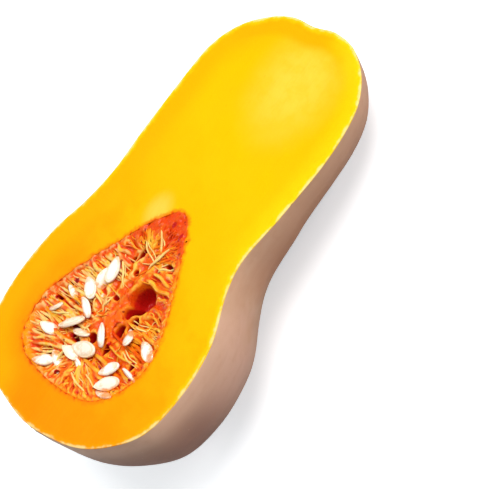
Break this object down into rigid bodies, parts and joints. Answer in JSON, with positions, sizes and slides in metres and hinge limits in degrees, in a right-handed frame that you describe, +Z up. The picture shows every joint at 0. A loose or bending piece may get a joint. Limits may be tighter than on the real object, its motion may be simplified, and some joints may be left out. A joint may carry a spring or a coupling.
{
  "type": "halved butternut squash",
  "caption": "Butternut squash cut in half lengthwise, lying on its rounded back with the cut face up, its teardrop seed cavity lined with stringy pulp and flat seeds.",
  "frame": {"origin": "on the surface it lies on, under the middle of its footprint's box", "axes": "+X towards the stem end along the squash's length, +Y to its left as seen from the blossom end, +Z up out of the cut face's side"},
  "size_m": [0.2322, 0.132, 0.0893],
  "materials": {
    "flesh": "moist satin, yellow-orange cut flesh",
    "rind": "waxy matt satin, pinkish tan skin with faint streaks",
    "pulp": "wet gloss, orange to deep red strings",
    "seed": "wet satin, ivory white"
  },
  "bodies": {
    "root": {"squash_half": "flesh", "pulp_with_seeds": "pulp"}
  },
  "joints": []
}
